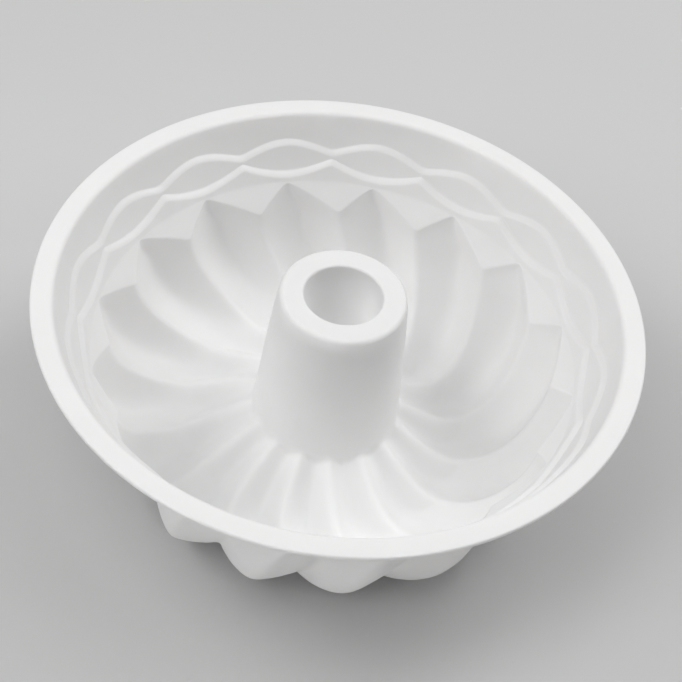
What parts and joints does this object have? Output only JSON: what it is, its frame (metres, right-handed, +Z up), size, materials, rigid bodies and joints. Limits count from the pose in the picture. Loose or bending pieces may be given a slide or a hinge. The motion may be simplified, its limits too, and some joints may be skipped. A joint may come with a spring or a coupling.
{
  "type": "silicone ring cake mould",
  "caption": "Round flexible ring cake mould with a swirled fluted bowl, a central tube and a flat rim stiffened by a wire hoop.",
  "frame": {"origin": "on the mould's axis, at the height of the small flats under its lobes on which it stands", "axes": "+Z up along the axis, out of the open side; +X through the point on the ledge where one flute starts"},
  "size_m": [0.24, 0.24, 0.0855],
  "materials": {
    "white_silicone": "matt white moulded silicone, faintly translucent",
    "steel_wire": "bright drawn stainless wire"
  },
  "bodies": {
    "root": {"mould_body": "white_silicone", "rim_hoop": "steel_wire"}
  },
  "joints": []
}
